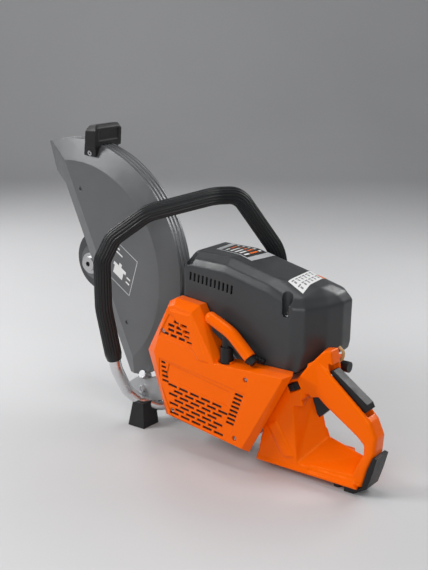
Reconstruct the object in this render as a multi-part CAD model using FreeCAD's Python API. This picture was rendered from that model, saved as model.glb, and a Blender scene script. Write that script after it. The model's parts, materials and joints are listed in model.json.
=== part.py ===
import FreeCAD, Part
import math
import os

# Hand-held concrete cut-off saw.
# Millimetres. The origin is the centre of the blade seat on the spindle.
# +X points to the rear handle, +Y to the operator's right, +Z up.

V = FreeCAD.Vector
GROUND_Z = -235.0

# Blade seat and spindle
ARBOR_R = 12.7
ARBOR_HALF = 3.1
SPINDLE_R = 11.0
JOURNAL_R = 8.5
FLANGE_R = 18.0
SNOUT_R = 20.0
BOSS_R = 32.7

# Guard
GUARD_R = 214.0
PANEL_R = 179.0
WALL = 2.5
BAND_Y = (-20.0, 8.0)
PANEL_Y = -30.0
BACK_Y = 18.0
FRONT_LINE = (-0.911, -0.412)
PANEL_OFFSET = -55.7
EDGE_OFFSET = -31.0
GUARD_FLOOR_Z = -163.0

# Engine
CRANK_X = 318.0
CRANK_Z = -112.0
ENGINE_TILT = 7.7
ENGINE_Y = -10.0
STROKE = 36.0
BORE_R = 25.5
THROW = STROKE / 2
ROD_LENGTH = 66.0
HEAD_TOP = 126.0

# Belt drive
ARM_Y = (30.0, 42.0)
ARM_R = 52.6
CLUTCH_END_R = 50.0
DRIVEN_R = 45.0
DRIVE_R = 28.0
BELT_Y = (46.0, 58.0)
BELT_T = 4.0
DRUM_R = 38.0

# Starter
STARTER_FACE_Y = -96.0
STARTER_STEP_Y = -67.5
POCKET_R = 8.0
STARTER_BACK_Y = -50.0
ROPE_X = 350.0
ROPE_Y = -84.5
REEL_R = ROPE_X - CRANK_X
GRIP_R = 9.3
ROPE_R = 1.8

# Top cover
COVER_Y = (-66.0, 44.0)
COVER_WALL = 3.0

# Rear handle and tank
GRIP_Y = (-58.0, -28.0)
CAP_SPOT = (418.0, -186.0)

# Front handle
TUBE_R = 9.5
SLEEVE_R = 13.5
TUBE_PATH = [
    (205, 25, -208), (170, -26, -205), (150, -48, -195), (138, -64, -176),
    (140, -91, -131), (139, -116, -25), (139, -117, 50), (151, -104, 85),
    (198, -78, 125), (280, -22, 152), (301, 10, 151), (340, 58, 63),
    (349, 60, 10), (388, 60, -60), (402, 60, -92),
]
TUBE_BENDS = [14, 14, 18, 60, 90, 30, 30, 60, 45, 30, 60, 60, 40]


def slab(x0, x1, y0, y1, z0, z1):
    """Box between two corners."""
    return Part.makeBox(x1 - x0, y1 - y0, z1 - z0, V(x0, y0, z0))


def rod(radius, start, end):
    """Round bar between two points."""
    a = V(*start)
    b = V(*end)
    return Part.makeCylinder(radius, (b - a).Length, a, b - a)


def rod_y(radius, y0, y1, x=0.0, z=0.0):
    """Round bar along Y."""
    return Part.makeCylinder(radius, y1 - y0, V(x, y0, z), V(0, 1, 0))


def ring_y(outer, inner, y0, y1, x=0.0, z=0.0):
    """Washer or sleeve along Y."""
    return rod_y(outer, y0, y1, x, z).cut(rod_y(inner, y0 - 1, y1 + 1, x, z))


def hex_y(radius, y0, y1, x=0.0, z=0.0):
    """Hexagonal bar along Y."""
    corners = [
        (x + radius * math.cos(math.radians(60 * i)), z + radius * math.sin(math.radians(60 * i)))
        for i in range(6)
    ]
    return prism_y(corners, y0, y1)


def prism(points, direction):
    """Flat outline pushed along a direction."""
    outline = [V(*p) for p in points]
    return Part.Face(Part.makePolygon(outline + [outline[0]])).extrude(V(*direction))


def prism_y(points_xz, y0, y1):
    """Side-view outline pushed along Y."""
    return prism([(x, y0, z) for x, z in points_xz], (0, y1 - y0, 0))


def prism_z(points_xy, z0, z1):
    """Top-view outline pushed along Z."""
    return prism([(x, y, z0) for x, y in points_xy], (0, 0, z1 - z0))


def fuse(shapes):
    """Join shapes into one."""
    result = shapes[0]
    for shape in shapes[1:]:
        result = result.fuse(shape)
    return result.removeSplitter()


def cut(shape, tools):
    """Take several tools away from a shape."""
    for tool in tools:
        shape = shape.cut(tool)
    return shape


def hull(points):
    """Convex solid around a set of points."""
    count = len(points)
    faces = []
    seen = set()
    for i in range(count):
        for j in range(i + 1, count):
            for k in range(j + 1, count):
                on_plane = hull_face(points, i, j, k)
                if on_plane and on_plane not in seen:
                    seen.add(on_plane)
                    faces.append(flat_face([V(*points[m]) for m in on_plane]))
    return Part.makeSolid(Part.makeShell(faces))


def hull_face(points, i, j, k):
    """Points on the plane of three, when every other point is on one side of it."""
    ax, ay, az = points[i]
    ux, uy, uz = (points[j][n] - points[i][n] for n in range(3))
    wx, wy, wz = (points[k][n] - points[i][n] for n in range(3))
    nx, ny, nz = uy * wz - uz * wy, uz * wx - ux * wz, ux * wy - uy * wx
    length = math.sqrt(nx * nx + ny * ny + nz * nz)
    if length < 1e-6:
        return None
    heights = [((x - ax) * nx + (y - ay) * ny + (z - az) * nz) / length for x, y, z in points]
    if min(heights) < -1e-3 and max(heights) > 1e-3:
        return None
    return tuple(m for m, height in enumerate(heights) if abs(height) <= 1e-3)


def flat_face(corners):
    """Face through coplanar points, leaving out those inside the outline."""
    middle = V(0, 0, 0)
    for corner in corners:
        middle = middle + corner * (1.0 / len(corners))
    first = (corners[0] - middle).normalize()
    normal = V(0, 0, 0)
    for corner in corners[1:]:
        if first.cross(corner - middle).Length > normal.Length:
            normal = first.cross(corner - middle)
    second = normal.normalize().cross(first)
    flat = sorted(((p - middle).dot(first), (p - middle).dot(second), n) for n, p in enumerate(corners))
    order = half_outline(flat) + half_outline(flat[::-1])
    loop = [corners[entry[2]] for entry in order]
    return Part.Face(Part.makePolygon(loop + [loop[0]]))


def half_outline(flat):
    """One side of a flat convex outline, without its last point."""
    chain = []
    for point in flat:
        while len(chain) > 1 and turn(chain[-2], chain[-1], point) <= 1e-3:
            chain.pop()
        chain.append(point)
    return chain[:-1]


def turn(a, b, c):
    """Twice the signed area of a triangle."""
    return (b[0] - a[0]) * (c[1] - a[1]) - (b[1] - a[1]) * (c[0] - a[0])


def inset(points, distance):
    """Convex outline with every edge moved inwards."""
    area = sum(x0 * z1 - x1 * z0 for (x0, z0), (x1, z1) in zip(points, points[1:] + points[:1]))
    side = 1 if area > 0 else -1
    lines = []
    for (x0, z0), (x1, z1) in zip(points, points[1:] + points[:1]):
        length = math.hypot(x1 - x0, z1 - z0)
        nx = -side * (z1 - z0) / length
        nz = side * (x1 - x0) / length
        lines.append((nx, nz, nx * x0 + nz * z0 + distance))
    corners = []
    for (a, b, c), (d, e, f) in zip(lines[-1:] + lines[:-1], lines):
        determinant = a * e - b * d
        corners.append(((c * e - b * f) / determinant, (a * f - c * d) / determinant))
    return corners


def bent_wire(points, bends):
    """Path of straight runs joined by tangent arcs."""
    corners = [V(*p) for p in points]
    edges = []
    start = corners[0]
    for index, bend in enumerate(bends):
        corner = corners[index + 1]
        back = (corners[index] - corner).normalize()
        ahead = (corners[index + 2] - corner).normalize()
        half = back.getAngle(ahead) / 2
        reach = bend / math.tan(half)
        inward = (back + ahead).normalize()
        middle = corner + inward * (bend / math.sin(half) - bend)
        first = corner + back * reach
        last = corner + ahead * reach
        edges.append(Part.makeLine(start, first))
        edges.append(Part.Arc(first, middle, last).toShape())
        start = last
    edges.append(Part.makeLine(start, corners[-1]))
    return Part.Wire(edges)


def pipe(points, bends, radius):
    """Round tube or rod swept along a bent path."""
    heading = V(*points[1]) - V(*points[0])
    profile = Part.Wire(Part.makeCircle(radius, V(*points[0]), heading))
    return bent_wire(points, bends).makePipeShell([profile], True, False)


def link_plate(x0, z0, r0, x1, z1, r1, y0, y1):
    """Plate with two round ends joined by tangent edges."""
    length = math.hypot(x1 - x0, z1 - z0)
    dx = (x1 - x0) / length
    dz = (z1 - z0) / length
    lean = (r0 - r1) / length
    square = math.sqrt(1 - lean * lean)
    quad = [
        (x0 + r0 * (dx * lean - dz * square), z0 + r0 * (dz * lean + dx * square)),
        (x1 + r1 * (dx * lean - dz * square), z1 + r1 * (dz * lean + dx * square)),
        (x1 + r1 * (dx * lean + dz * square), z1 + r1 * (dz * lean - dx * square)),
        (x0 + r0 * (dx * lean + dz * square), z0 + r0 * (dz * lean - dx * square)),
    ]
    ends = [rod_y(r0, y0, y1, x0, z0), rod_y(r1, y0, y1, x1, z1)]
    return fuse([prism_y(quad, y0, y1)] + ends)


def level_edges(shape, corners):
    """Edges at one Y that join two of the given side-view corners."""
    found = []
    for edge in shape.Edges:
        a, b = (vertex.Point for vertex in edge.Vertexes)
        known = [any(math.hypot(p.x - x, p.z - z) < 0.01 for x, z in corners) for p in (a, b)]
        if abs(a.y - b.y) < 0.01 and all(known):
            found.append(edge)
    return found


def tilted(shape):
    """Engine-frame shape set on the crank axis with the engine's tilt."""
    placed = shape.copy()
    placed.rotate(V(0, 0, 0), V(0, 1, 0), ENGINE_TILT)
    placed.translate(V(CRANK_X, 0, CRANK_Z))
    return placed


def engine_point(u, w):
    """Side-view position of an engine-frame point."""
    cosine = math.cos(math.radians(ENGINE_TILT))
    sine = math.sin(math.radians(ENGINE_TILT))
    return CRANK_X + u * cosine + w * sine, CRANK_Z - u * sine + w * cosine


def cap_screw(position, direction, head_r=4.5, head_h=4.0, shank_r=2.4, shank=12.0):
    """Socket-head screw whose head sits on a point and faces along a direction."""
    seat = V(*position)
    out = V(*direction).normalize()
    head = Part.makeCylinder(head_r, head_h, seat, out)
    socket = Part.makeCylinder(head_r * 0.5, head_h * 0.6, seat + out * (head_h * 0.45), out)
    body = Part.makeCylinder(shank_r, shank, seat, out * -1)
    return head.cut(socket).fuse(body)


# ---------------------------------------------------------------- guard

def chord_point(offset, z):
    """Point on a line parallel to the guard's front edge."""
    return (offset - FRONT_LINE[1] * z) / FRONT_LINE[0], z


def guard_lens(depth):
    """Round outer form of the guard, moved inwards by a depth."""
    ribs = []
    if depth == 0:
        for groove in (-16.5, -8.5, -0.5):
            ribs += [(GUARD_R, groove), (GUARD_R - 1.5, groove + 1), (GUARD_R - 1.5, groove + 3.5),
                     (GUARD_R, groove + 4.5)]
    profile = [(0, PANEL_Y + depth), (PANEL_R - depth * 0.3, PANEL_Y + depth)]
    profile += [(GUARD_R - depth, BAND_Y[0] + depth * 0.8)] + ribs
    profile += [(GUARD_R - depth, BAND_Y[1] - depth * 0.8), (196 - depth * 0.3, BACK_Y - depth)]
    profile += [(0, BACK_Y - depth)]
    outline = [V(radius, y, 0) for radius, y in profile]
    face = Part.Face(Part.makePolygon(outline + [outline[0]]))
    return face.revolve(V(0, 0, 0), V(0, 1, 0), 360)


def front_bevel(depth):
    """Block in front of the sloping front margin of the left panel."""
    section = [
        (PANEL_OFFSET - depth * 0.3, PANEL_Y + depth),
        (PANEL_OFFSET - depth * 0.3, PANEL_Y - 20),
        (400, PANEL_Y - 20),
        (400, PANEL_Y + depth + 10 * (400 - PANEL_OFFSET) / (EDGE_OFFSET - PANEL_OFFSET)),
    ]
    nx, nz = FRONT_LINE
    start = (400 * nz, -400 * nx)
    points = [(start[0] + offset * nx, y, start[1] + offset * nz) for offset, y in section]
    return prism(points, (-800 * nz, 0, 800 * nx))


def guard_shell():
    """Formed guard: ribbed band, left panel with sloping margins, right wall and hub."""
    outer = guard_lens(0).cut(front_bevel(0))
    inner = guard_lens(WALL).cut(front_bevel(WALL))
    shell = outer.cut(inner)
    split = (BAND_Y[0] + BAND_Y[1]) / 2
    lip = [(-68, 230), (-54, 156)]
    left = prism_y(
        lip + [chord_point(EDGE_OFFSET, 138), chord_point(EDGE_OFFSET, GUARD_FLOOR_Z),
               (300, GUARD_FLOOR_Z), (300, 230)], PANEL_Y - 1, split)
    right = prism_y(
        lip + [chord_point(-10, 120), chord_point(-10, GUARD_FLOOR_Z),
               (300, GUARD_FLOOR_Z), (300, 230)], split, BACK_Y + 1)
    hub = ring_y(31, SNOUT_R, BACK_Y - WALL, BACK_Y + 6)
    right_half = cut(shell.common(right), [rod_y(SNOUT_R, 0, BACK_Y + 6)])
    shell = fuse([shell.common(left), right_half, hub])
    holes = [rod_y(3.2, PANEL_Y - 1, PANEL_Y + 4, x, z) for x, z in ((15, 134), (110, -75))]
    return cut(shell, holes)


def guard_handle():
    """Moulded grip that straddles the guard's band, with a leg on each side."""
    block = hull(
        [(x, y, z) for x, z in ((33, 233), (38, 239), (52, 240), (56, 235)) for y in (-30, 22)]
        + [(x, y, z) for x, z in ((33, 230), (56, 231), (54, 204), (33, 204)) for y in (-35, 27)])
    left_leg = hull([(33, -35, 230), (56, -35, 231), (24, -30, 190), (50, -30, 189),
                     (33, -12, 230), (56, -12, 231), (24, -18, 190), (50, -18, 189)])
    right_leg = hull([(33, 27, 230), (56, 27, 231), (28, 22, 192), (50, 22, 191),
                      (33, 2, 230), (56, 2, 231), (28, 4, 192), (50, 4, 191)])
    recess = slab(54, 60, -27, 19, 214, 232)
    return cut(fuse([block, left_leg, right_leg]), [guard_lens(0), recess])


def guard_handle_screws():
    """Two screws through the grip's legs."""
    return Part.makeCompound([
        cap_screw((38, -28.6, 195), (0, -1, -0.35), 4, 3, 1.8, 2),
        cap_screw((40, 21.4, 197), (0, 1, -0.35), 4, 3, 1.8, 2),
    ])


# ---------------------------------------------------------------- spindle and belt drive

def spindle():
    """Blade shaft: plain nose, collar and journal, with a tapped hole in the nose."""
    shaft = fuse([
        rod_y(ARBOR_R, -ARBOR_HALF, ARBOR_HALF),
        rod_y(SPINDLE_R, ARBOR_HALF, 13),
        rod_y(JOURNAL_R, 13, 63),
    ])
    return shaft.cut(rod_y(4.25, -ARBOR_HALF, 15))


def inner_flange():
    """Collar the blade is clamped against."""
    return ring_y(FLANGE_R, SPINDLE_R, ARBOR_HALF, 9)


def driven_pulley():
    """Grooved pulley on the blade shaft."""
    rim = cut(rod_y(DRIVEN_R, *BELT_Y), [
        ring_y(DRIVEN_R - 5, 14, BELT_Y[0] - 1, BELT_Y[0] + 3),
        ring_y(DRIVEN_R - 5, 14, BELT_Y[1] - 3, BELT_Y[1] + 1),
        rod_y(JOURNAL_R, 40, 60)])
    windows = []
    for step in range(5):
        angle = math.radians(72 * step)
        windows.append(rod_y(7, 44, 60, 27 * math.cos(angle), 27 * math.sin(angle)))
    grooves = [ring_y(DRIVEN_R + 1, DRIVEN_R - 1.5, y, y + 1) for y in (48.5, 51.5, 54.5)]
    return cut(rim, windows + grooves)


def pulley_nut():
    """Nut that holds the driven pulley."""
    return hex_y(12, BELT_Y[1], 62.5).cut(rod_y(JOURNAL_R, 50, 70))


def clutch_drum():
    """Drive pulley and clutch drum in one piece, turning on the crankshaft end."""
    pulley = rod_y(DRIVE_R, *BELT_Y, CRANK_X, CRANK_Z)
    grooves = [ring_y(DRIVE_R + 1, DRIVE_R - 1.5, y, y + 1, CRANK_X, CRANK_Z) for y in (48.5, 51.5, 54.5)]
    cup = ring_y(DRUM_R, DRUM_R - 2.5, 58, 74, CRANK_X, CRANK_Z)
    floor = rod_y(DRUM_R, 58, 60.5, CRANK_X, CRANK_Z)
    bore = rod_y(JOURNAL_R + 0.3, 40, 70, CRANK_X, CRANK_Z)
    return cut(fuse([pulley, cup, floor]), grooves + [bore])


def belt_loop(outer_extra, inner_extra, y0, y1):
    """Closed band around both pulleys."""
    outer = link_plate(0, 0, DRIVEN_R + outer_extra, CRANK_X, CRANK_Z, DRIVE_R + outer_extra, y0, y1)
    inner = link_plate(0, 0, DRIVEN_R + inner_extra, CRANK_X, CRANK_Z, DRIVE_R + inner_extra, y0 - 1, y1 + 1)
    return outer.cut(inner)


def drive_belt():
    """Multi-rib belt, drawn as a smooth band."""
    return belt_loop(0.4 + BELT_T, 0.4, BELT_Y[0] + 0.5, BELT_Y[1] - 0.5)


def arm_hole_points():
    """Side-view positions of the bolts that fix the arm to the crankcase."""
    along = (-math.cos(math.radians(19.4)), math.sin(math.radians(19.4)))
    spots = []
    for reach, offset in ((58, 15), (58, -15), (-38, 0)):
        spots.append((CRANK_X + reach * along[0] + offset * along[1],
                      CRANK_Z + reach * along[1] - offset * along[0]))
    return spots


def cutting_arm():
    """Cast arm carrying the spindle, with the snout that the guard turns on."""
    plate = link_plate(0, 0, ARM_R, CRANK_X, CRANK_Z, CLUTCH_END_R, *ARM_Y)
    boss = rod_y(BOSS_R, 28, ARM_Y[0])
    snout = rod_y(SNOUT_R - 0.35, 13.5, 28)
    stub = rod_y(SNOUT_R, ARM_Y[1], 44)
    pocket = link_plate(90, -31.7, 26, 225, -79.2, 24, ARM_Y[0] - 1, ARM_Y[0] + 6)
    rib = prism_y([(90, -29), (92, -35), (228, -83), (226, -77)], ARM_Y[0], ARM_Y[0] + 6)
    body = fuse([plate.cut(pocket), boss, snout, stub, rib])
    bores = [rod_y(15, 14, 21), rod_y(12, 10, 50), rod_y(15, 36, 50)]
    bores.append(rod_y(27, 20, 50, CRANK_X, CRANK_Z))
    bores += [rod_y(4.2, 20, 50, x, z) for x, z in arm_hole_points()]
    bores.append(rod_y(5.2, 20, 50, *tensioner_spot()))
    return cut(body, bores)


def arm_boss_screws():
    """Small screws around the arm's front boss."""
    screws = []
    for angle in (100, 190, 280, 10):
        x = 25.5 * math.cos(math.radians(angle))
        z = 25.5 * math.sin(math.radians(angle))
        screws.append(cap_screw((x, 28, z), (0, -1, 0), 3.4, 2.6, 1.8, 0.5))
    return Part.makeCompound(screws)


def arm_bolts():
    """Bolts that fix the arm to the crankcase."""
    return Part.makeCompound([
        hex_y(5.8, ARM_Y[1], ARM_Y[1] + 3.6, x, z).fuse(rod_y(4.2, 18, ARM_Y[1], x, z))
        for x, z in arm_hole_points()])


def tensioner_spot():
    """Side-view position of the belt adjuster."""
    return CRANK_X - 0.943 * 130, CRANK_Z + 0.332 * 130


def belt_tensioner():
    """Adjuster screw that reaches out through the belt cover."""
    x, z = tensioner_spot()
    return fuse([rod_y(5, ARM_Y[0] + 7, 66.4, x, z), hex_y(8.5, 66.4, 72, x, z)])


def belt_cover():
    """Outer cover over the belt and the clutch."""
    y0 = ARM_Y[1]
    outer = fuse([link_plate(0, 0, ARM_R, CRANK_X, CRANK_Z, CLUTCH_END_R, y0, 66),
                  rod_y(CLUTCH_END_R, y0, 80, CRANK_X, CRANK_Z)])
    inner = fuse([link_plate(0, 0, ARM_R - 3, CRANK_X, CRANK_Z, CLUTCH_END_R - 3, y0 - 1, 63.5),
                  rod_y(CLUTCH_END_R - 3, y0 - 1, 77.5, CRANK_X, CRANK_Z)])
    vents = []
    for step in range(10):
        angle = math.radians(36 * step)
        vents.append(slab(16, 34, 76, 82, -2, 2).rotated(V(0, 0, 0), V(0, 1, 0), math.degrees(angle)))
    vents = [vent.translated(V(CRANK_X, 0, CRANK_Z)) for vent in vents]
    x, z = tensioner_spot()
    return cut(outer, [inner, rod_y(5.4, 60, 70, x, z)] + vents)


def belt_cover_screws():
    """Screws on the belt cover's face."""
    spots = [(0, 0), (150, -52.8), (250, -88)]
    return Part.makeCompound([cap_screw((x, 66, z), (0, 1, 0), 5, 3.5, 2, 1.5) for x, z in spots])


# ---------------------------------------------------------------- engine

def crankcase(y0, y1):
    """One side of the crankcase, in the engine frame."""
    outline = [(-84, -50), (-88, 8), (-58, 47), (56, 47), (66, 8), (64, -84), (-54, -84)]
    outline += [(-76, -70)]
    return tilted(cut(prism_y(outline, y0, y1), [
        rod_y(39.5, ENGINE_Y - 20, ENGINE_Y + 20),
        Part.makeCylinder(30, 60, V(0, ENGINE_Y, 0), V(0, 0, 1)),
        rod_y(12, -60, 60),
        rod_y(20, -46, -34),
        rod_y(20, 14, 26),
    ]))


def crankcase_left():
    """Crankcase half on the starter side."""
    return crankcase(-48, ENGINE_Y)


def crankcase_right():
    """Crankcase half on the belt side, with the arm's pad."""
    holes = [rod_y(4.2, 18, 40, x, z) for x, z in arm_hole_points()]
    return cut(crankcase(ENGINE_Y, ARM_Y[0]), holes)


def crankcase_bolts():
    """Bolts that close the crankcase."""
    spots = [engine_point(u, w) for u, w in ((-76, -48), (-46, -76), (56, -76), (56, 30), (-52, 38))]
    return Part.makeCompound([cap_screw((x, -48, z), (0, -1, 0), 4.5, 1.6, 2.5, 0.4) for x, z in spots])


def bearings():
    """Bearings of the blade shaft and main bearings of the crankshaft."""
    rings = [ring_y(15, JOURNAL_R + 0.3, y, y + 7) for y in (14, 36)]
    rings += [ring_y(20, 10.4, y, y + 12, CRANK_X, CRANK_Z) for y in (-46, 14)]
    return Part.makeCompound(rings)


def crankshaft():
    """Crankshaft with two webs and its pin at the top of the stroke."""
    webs = fuse([rod_y(36, -28, -18), rod_y(36, -2, 8)])
    sides = [slab(-40, -24, -30, 10, -2, 40), slab(24, 40, -30, 10, -2, 40)]
    shaft = fuse([
        webs.cut(fuse(sides)),
        rod_y(8, -20, 0, 0, THROW),
        rod_y(10, -50, -28), rod_y(8.5, -75, -50),
        rod_y(10, 8, 30), rod_y(8.5, 30, 73),
    ])
    return tilted(shaft)


def flywheel():
    """Flywheel with its cooling fan blades and starter cup."""
    disc = rod_y(52, -66, -55)
    cup = ring_y(20, 15, -74, -66)
    blades = []
    for step in range(18):
        blade = slab(26, 51, -72, -66, -1, 1)
        blades.append(blade.rotated(V(0, 0, 0), V(0, 1, 0), 20 * step))
    return tilted(cut(fuse([disc, cup] + blades), [rod_y(8.5, -90, -50)]))


def clutch_shoes():
    """Three clutch shoes on their hub."""
    ring = ring_y(34.6, 22, 62, 72)
    gaps = []
    for step in range(3):
        gaps.append(slab(16, 40, 60, 74, -2, 2).rotated(V(0, 0, 0), V(0, 1, 0), 30 + 120 * step))
    hub = fuse([rod_y(17.5, 62, 72), hex_y(11, 72, 76)]).cut(rod_y(8.5, 60, 73))
    keys = [slab(15, 24, 64, 70, -4, 4).rotated(V(0, 0, 0), V(0, 1, 0), 90 + 120 * step) for step in range(3)]
    return tilted(fuse([cut(ring, gaps), hub] + keys))


def cylinder():
    """Finned cylinder with its inlet and exhaust flanges, in the engine frame."""
    barrel = Part.makeCylinder(31, HEAD_TOP - 47 - 8, V(0, ENGINE_Y, 47), V(0, 0, 1))
    foot = slab(-36, 36, ENGINE_Y - 34, ENGINE_Y + 34, 47, 52)
    fins = []
    for step in range(8):
        z = 57 + step * 8.2
        fins.append(slab(-43, 43, ENGINE_Y - 36, ENGINE_Y + 36, z, z + 2.6))
    head = hull([(x, ENGINE_Y + y, z) for x, y, z in (
        (-36, -30, 117), (36, -30, 117), (36, 30, 117), (-36, 30, 117),
        (-20, -18, HEAD_TOP), (20, -18, HEAD_TOP), (20, 18, HEAD_TOP), (-20, 18, HEAD_TOP))])
    inlet = slab(25, 45, ENGINE_Y - 16, ENGINE_Y + 16, 60, 84)
    outlet = slab(-48, -25, ENGINE_Y - 20, ENGINE_Y + 20, 58, 88)
    body = fuse([barrel, foot, head, inlet, outlet] + fins)
    bore = Part.makeCylinder(BORE_R, 63, V(0, ENGINE_Y, 46), V(0, 0, 1))
    plug_hole = Part.makeCylinder(5, 30, V(0, ENGINE_Y, 100), V(0, 0, 1))
    return tilted(cut(body, [bore, plug_hole]))


def piston():
    """Piston at top dead centre, with its pin and the upper part of the rod."""
    crown = THROW + ROD_LENGTH + 20
    skirt = Part.makeCylinder(BORE_R - 0.4, 28, V(0, ENGINE_Y, crown - 28), V(0, 0, 1))
    hollow = Part.makeCylinder(21, 23, V(0, ENGINE_Y, crown - 29), V(0, 0, 1))
    pin = rod_y(6, ENGINE_Y - 22, ENGINE_Y + 22, 0, THROW + ROD_LENGTH)
    eye = rod_y(10, ENGINE_Y - 5, ENGINE_Y + 5, 0, THROW + ROD_LENGTH)
    shank = slab(-6, 6, ENGINE_Y - 3.5, ENGINE_Y + 3.5, THROW + ROD_LENGTH - 18, THROW + ROD_LENGTH)
    rings = []
    for step in range(2):
        groove = Part.makeCylinder(BORE_R + 1, 1.5, V(0, ENGINE_Y, crown - 6 - 4 * step), V(0, 0, 1))
        rings.append(groove.cut(Part.makeCylinder(BORE_R - 1.4, 1.5, V(0, ENGINE_Y, crown - 6 - 4 * step))))
    return tilted(cut(fuse([skirt.cut(hollow), pin, eye, shank]), rings))


def spark_plug():
    """Spark plug on the cylinder head."""
    base = Part.makeCylinder(4.9, 18, V(0, ENGINE_Y, HEAD_TOP - 16), V(0, 0, 1))
    nut = prism_z([(9.2 * math.cos(math.radians(60 * i)), ENGINE_Y + 9.2 * math.sin(math.radians(60 * i)))
                   for i in range(6)], HEAD_TOP, HEAD_TOP + 8)
    stem = Part.makeCylinder(5, 10, V(0, ENGINE_Y, HEAD_TOP + 8), V(0, 0, 1))
    return tilted(fuse([base, nut, stem]))


def plug_cap():
    """Rubber cap and ignition lead down to the coil."""
    cap = Part.makeCylinder(9, 14, V(0, ENGINE_Y, HEAD_TOP + 10), V(0, 0, 1))
    cap = cap.cut(Part.makeCylinder(5, 8, V(0, ENGINE_Y, HEAD_TOP + 10), V(0, 0, 1)))
    lead = pipe([(0, ENGINE_Y, HEAD_TOP + 21.2), (0, -44, HEAD_TOP + 20), (0, -54, 100), (0, -56, 80)],
                [8, 20], 3)
    return tilted(cap.fuse(lead))


def ignition_coil():
    """Coil beside the flywheel."""
    block = slab(-16, 16, -62, -50, 60, 80)
    legs = [slab(x, x + 6, -60, -54, 53.5, 60) for x in (-20, 14)]
    foot = slab(-22, 22, -60, -54, 56, 62)
    mount = slab(-22, 22, -54, -44.5, 47, 50)
    return tilted(fuse([block, foot, mount, slab(-22, 22, -54, -50, 50, 62)] + legs))


def muffler():
    """Silencer in front of the cylinder, with its outlet."""
    outline = [(-97, 26), (-90, 16), (-60, 52), (-50, 56), (-50, 84), (-84, 84), (-97, 74)]
    box = hull([(u, y, w) for y in (-44, 24) for u, w in outline])
    pipe_stub = slab(-52, -48, ENGINE_Y - 17, ENGINE_Y + 17, 60, 86)
    outlet = slab(-101, -95, -2, 16, 32, 42)
    slots = [slab(-98, -95.8, -38, 16, 47 + 8 * n, 50 + 8 * n) for n in range(3)]
    return tilted(cut(fuse([box, pipe_stub, outlet]), [slab(-102, -93, 1, 13, 34, 40)] + slots))


def intake_boot():
    """Rubber manifold between the cylinder and the carburettor."""
    sleeve = Part.makeCylinder(14, 14, V(45, ENGINE_Y, 72), V(1, 0, 0))
    return tilted(sleeve.cut(Part.makeCylinder(9, 14, V(45, ENGINE_Y, 72), V(1, 0, 0))))


def carburettor():
    """Carburettor body with its metering cover."""
    body = slab(59, 88, -30, 10, 55, 88)
    cover = slab(62, 85, -26, 6, 51, 55)
    bore = Part.makeCylinder(9, 40, V(55, ENGINE_Y, 72), V(1, 0, 0))
    screws = [Part.makeCylinder(2.5, 6, V(u, -36, 62), V(0, 1, 0)) for u in (66, 76)]
    return tilted(cut(fuse([body, cover] + screws), [bore]))


def filter_tray():
    """Tray that carries the air filter above the carburettor."""
    tray = slab(385, 455, -54, 34, -12, -8)
    neck = hull([(398, y, z) for y in (-28, 8) for z in (-10, -60)]
                + [(410, y, z) for y in (-28, 8) for z in (-10, -56)])
    walls = [slab(385, 388, -54, 34, -8, -2), slab(452, 455, -54, 34, -8, -2)]
    neck = neck.cut(tilted(slab(50, 88.5, -40, 20, 40, 95)))
    return fuse([tray, neck] + walls)


def air_filter():
    """Pleated air filter element."""
    block = slab(389, 451, -50, 30, -8, 20)
    pleats = [slab(392 + 8 * n, 396 + 8 * n, -46, 26, 14, 22) for n in range(7)]
    return cut(block, pleats)


# ---------------------------------------------------------------- top cover

def cover_ring(trim, z, shift, narrow):
    """Rear outline of the cover at one height."""
    outline = [(448, COVER_Y[0]), (464, -56), (482, -25), (490, 5), (490, 30), (478, COVER_Y[1])]
    points = []
    for x, y in outline:
        side = 1 if y > -11 else -1
        points.append((x - shift - trim, y - side * (narrow + trim), z - trim))
    return points


def cover_form(trim, floor_z):
    """Closed outer form of the cover, moved inwards by a trim."""
    left = COVER_Y[0] + trim
    right = COVER_Y[1] - trim
    points = []
    for x, roof in ((266 + trim, 72 - trim), (330, 71 - trim), (408, 53 - trim)):
        for y, drop in ((left, 20), (left + 5, 9), (left + 20, 0)):
            points.append((x, y, roof - drop))
        for y, drop in ((right, 20), (right - 5, 9), (right - 20, 0)):
            points.append((x, y, roof - drop))
    front = 251 + trim
    for y in (left + 8, right - 8):
        points += [(front, y, 48), (front, y, floor_z)]
    for y in (left, right):
        points += [(front + 8, y, 50), (front + 8, y, floor_z)]
    points += cover_ring(trim, 18, 0, 0)
    points += cover_ring(trim, 31, 8, 6)
    points += cover_ring(trim, 41, 26, 20)
    points += cover_ring(trim, -45 + trim, 1, 0)
    points += cover_ring(trim, floor_z + trim, 10, 0)
    return hull([(round(x, 3), round(y, 3), round(z, 3)) for x, y, z in points])


def cover_underside(drop):
    """Space below the cover's lower edge."""
    edge = [(200, -5), (262, -7), (300, -15), (385, -80), (452, -80), (476, -64), (520, -30)]
    return prism_y([(x, z - drop) for x, z in edge] + [(520, -200), (200, -200)], -120, 120)


def cover_outer():
    """Cover with its lower edge cut to shape, still solid."""
    return cover_form(0, -82).cut(cover_underside(0))


def pocket_spots():
    """Bottoms of the screw pockets in the cover's shoulders."""
    return [V(266, -58, 56), V(437, -60, 9), V(272, 38, 56), V(440, 42, 9)]


def pocket_form(spot, radius):
    """Round-bottomed well that opens upwards."""
    return fuse([Part.makeSphere(radius, spot), Part.makeCylinder(radius, 40, spot)])


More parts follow.
